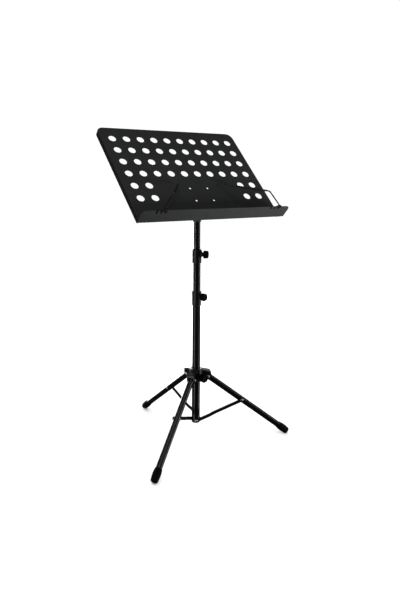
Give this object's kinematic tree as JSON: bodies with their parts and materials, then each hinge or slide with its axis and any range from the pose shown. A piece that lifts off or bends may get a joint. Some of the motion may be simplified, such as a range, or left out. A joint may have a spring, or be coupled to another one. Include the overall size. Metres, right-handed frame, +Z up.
{
  "type": "music stand",
  "caption": "Free-standing music stand with a punched sheet-metal desk, two page-holder arms, a telescoping pole with clamp knobs and a folding tripod base.",
  "frame": {"origin": "on the pole axis at floor level", "axes": "+Z up, +X along the desk to the right as the player sees it, the player stands at -Y"},
  "size_m": [0.5329, 0.4849, 0.9516],
  "materials": {
    "tube_paint": "satin black paint",
    "desk_paint": "fine textured black powder coat",
    "brace_paint": "satin black paint",
    "head_casting": "grey-black painted casting",
    "bracket_paint": "satin black paint",
    "moulded_plastic": "fine grained black plastic",
    "knob_plastic": "moulded black plastic",
    "nylon": "natural nylon",
    "foot_rubber": "black rubber",
    "sleeve_vinyl": "soft black vinyl",
    "rivet_steel": "bright zinc plate",
    "screw_steel": "zinc plate",
    "insert_brass": "turned brass",
    "wire_steel": "black coated spring wire"
  },
  "bodies": {
    "pole_base": {"lower_tube": "tube_paint", "lower_tube_plug": "moulded_plastic", "brace_pivot_pins": "rivet_steel", "lower_collar": "moulded_plastic", "lower_collar_bush": "nylon", "lower_collar_insert": "insert_brass", "lower_clamp_pad": "insert_brass"},
    "hub": {"tripod_hub": "moulded_plastic", "tripod_hub_bush": "nylon", "tripod_hub_insert": "insert_brass", "hub_clamp_pad": "insert_brass", "hub_pivot_pins": "rivet_steel"},
    "hub_clamp": {"hub_clamp_screw": "screw_steel", "hub_clamp_knob": "knob_plastic"},
    "lower_clamp": {"lower_clamp_screw": "screw_steel", "lower_clamp_knob": "knob_plastic"},
    "middle_stage": {"middle_tube": "tube_paint", "middle_tube_glide": "nylon", "upper_collar": "moulded_plastic", "upper_collar_bush": "nylon", "upper_collar_insert": "insert_brass", "upper_clamp_pad": "insert_brass"},
    "upper_clamp": {"upper_clamp_screw": "screw_steel", "upper_clamp_knob": "knob_plastic"},
    "upper_slider": {"upper_tube_glide": "nylon"},
    "upper_stage": {"upper_tube": "tube_paint", "tilt_socket": "head_casting", "socket_pin": "rivet_steel"},
    "desk": {"desk_panel": "desk_paint", "desk_bracket": "bracket_paint", "tilt_washers": "nylon", "tilt_bolt": "screw_steel", "page_clip_left": "wire_steel", "page_clip_right": "wire_steel", "page_pin_left": "screw_steel", "page_pin_right": "screw_steel"},
    "tilt_clamp": {"tilt_knob": "knob_plastic", "tilt_knob_insert": "insert_brass"},
    "page_holder_left": {"page_wire_left": "wire_steel", "page_sleeve_left": "sleeve_vinyl"},
    "page_holder_right": {"page_wire_right": "wire_steel", "page_sleeve_right": "sleeve_vinyl"},
    "leg_1": {"leg_tube_1": "tube_paint", "foot_1": "foot_rubber", "leg_rivet_1": "rivet_steel"},
    "brace_arm_1": {"brace_1": "brace_paint", "brace_rivet_1": "rivet_steel"},
    "leg_2": {"leg_tube_2": "tube_paint", "foot_2": "foot_rubber", "leg_rivet_2": "rivet_steel"},
    "brace_arm_2": {"brace_2": "brace_paint", "brace_rivet_2": "rivet_steel"},
    "leg_3": {"leg_tube_3": "tube_paint", "foot_3": "foot_rubber", "leg_rivet_3": "rivet_steel"},
    "brace_arm_3": {"brace_3": "brace_paint", "brace_rivet_3": "rivet_steel"}
  },
  "joints": [
    {"name": "tripod_fold", "type": "slide", "parent": "pole_base", "child": "hub", "axis": [0, 0, 1], "range_m": [0, 0.14573]},
    {"name": "leg_1_fold", "type": "hinge", "parent": "hub", "child": "leg_1", "pos_m": [0.03342, -0.01587, 0.209], "axis": [0.4289, 0.9033, 0], "range_deg": [-0.2, 52.59]},
    {"name": "brace_1_fold", "type": "hinge", "parent": "pole_base", "child": "brace_arm_1", "pos_m": [0, 0, 0.0645], "axis": [-0.4289, -0.9033, 0], "range_deg": [-0.2, 53.73]},
    {"name": "leg_2_fold", "type": "hinge", "parent": "hub", "child": "leg_2", "pos_m": [-0.00297, 0.03688, 0.209], "axis": [-0.9968, -0.0802, 0], "range_deg": [-0.2, 52.59]},
    {"name": "brace_2_fold", "type": "hinge", "parent": "pole_base", "child": "brace_arm_2", "pos_m": [0, 0, 0.0645], "axis": [0.9968, 0.0802, 0], "range_deg": [-0.2, 53.73]},
    {"name": "leg_3_fold", "type": "hinge", "parent": "hub", "child": "leg_3", "pos_m": [-0.03046, -0.02101, 0.209], "axis": [0.5678, -0.8231, 0], "range_deg": [-0.2, 52.59]},
    {"name": "brace_3_fold", "type": "hinge", "parent": "pole_base", "child": "brace_arm_3", "pos_m": [0, 0, 0.0645], "axis": [-0.5678, 0.8231, 0], "range_deg": [-0.2, 53.73]},
    {"name": "hub_knob_turn", "type": "hinge", "parent": "hub", "child": "hub_clamp", "pos_m": [0, 0, 0.212], "axis": [0.0802, -0.9968, 0], "range_deg": [0, 360]},
    {"name": "lower_knob_turn", "type": "hinge", "parent": "pole_base", "child": "lower_clamp", "pos_m": [0, 0, 0.4653], "axis": [0.1045, -0.9945, 0], "range_deg": [0, 360]},
    {"name": "middle_height", "type": "slide", "parent": "pole_base", "child": "middle_stage", "axis": [0, 0, 1], "range_m": [-0.08, 0.25]},
    {"name": "upper_knob_turn", "type": "hinge", "parent": "middle_stage", "child": "upper_clamp", "pos_m": [0, 0, 0.591], "axis": [0.6691, -0.7431, 0], "range_deg": [0, 360]},
    {"name": "upper_height", "type": "slide", "parent": "middle_stage", "child": "upper_slider", "axis": [0, 0, 1], "range_m": [-0.062, 0.25]},
    {"name": "desk_swivel", "type": "hinge", "parent": "upper_slider", "child": "upper_stage", "pos_m": [0, 0, 0.235], "axis": [0, 0, 1], "continuous": true},
    {"name": "desk_tilt", "type": "hinge", "parent": "upper_stage", "child": "desk", "pos_m": [0, 0, 0.722], "axis": [1, 0, 0], "range_deg": [-44, 26]},
    {"name": "tilt_knob_turn", "type": "hinge", "parent": "desk", "child": "tilt_clamp", "pos_m": [0.02, 0, 0.722], "axis": [1, 0, 0], "range_deg": [0, 360]},
    {"name": "page_holder_left_fold", "type": "hinge", "parent": "desk", "child": "page_holder_left", "pos_m": [-0.1855, -0.13335, 0.73358], "axis": [1, 0, 0], "range_deg": [0, 100]},
    {"name": "page_holder_right_fold", "type": "hinge", "parent": "desk", "child": "page_holder_right", "pos_m": [0.1995, -0.13335, 0.73358], "axis": [1, 0, 0], "range_deg": [0, 100]}
  ],
  "couplings": [
    {"joint": "leg_1_fold", "follows": "tripod_fold", "rad_per_m": 6.2855},
    {"joint": "brace_1_fold", "follows": "tripod_fold", "rad_per_m": 6.4227},
    {"joint": "leg_2_fold", "follows": "tripod_fold", "rad_per_m": 6.2855},
    {"joint": "brace_2_fold", "follows": "tripod_fold", "rad_per_m": 6.4227},
    {"joint": "leg_3_fold", "follows": "tripod_fold", "rad_per_m": 6.2855},
    {"joint": "brace_3_fold", "follows": "tripod_fold", "rad_per_m": 6.4227}
  ]
}
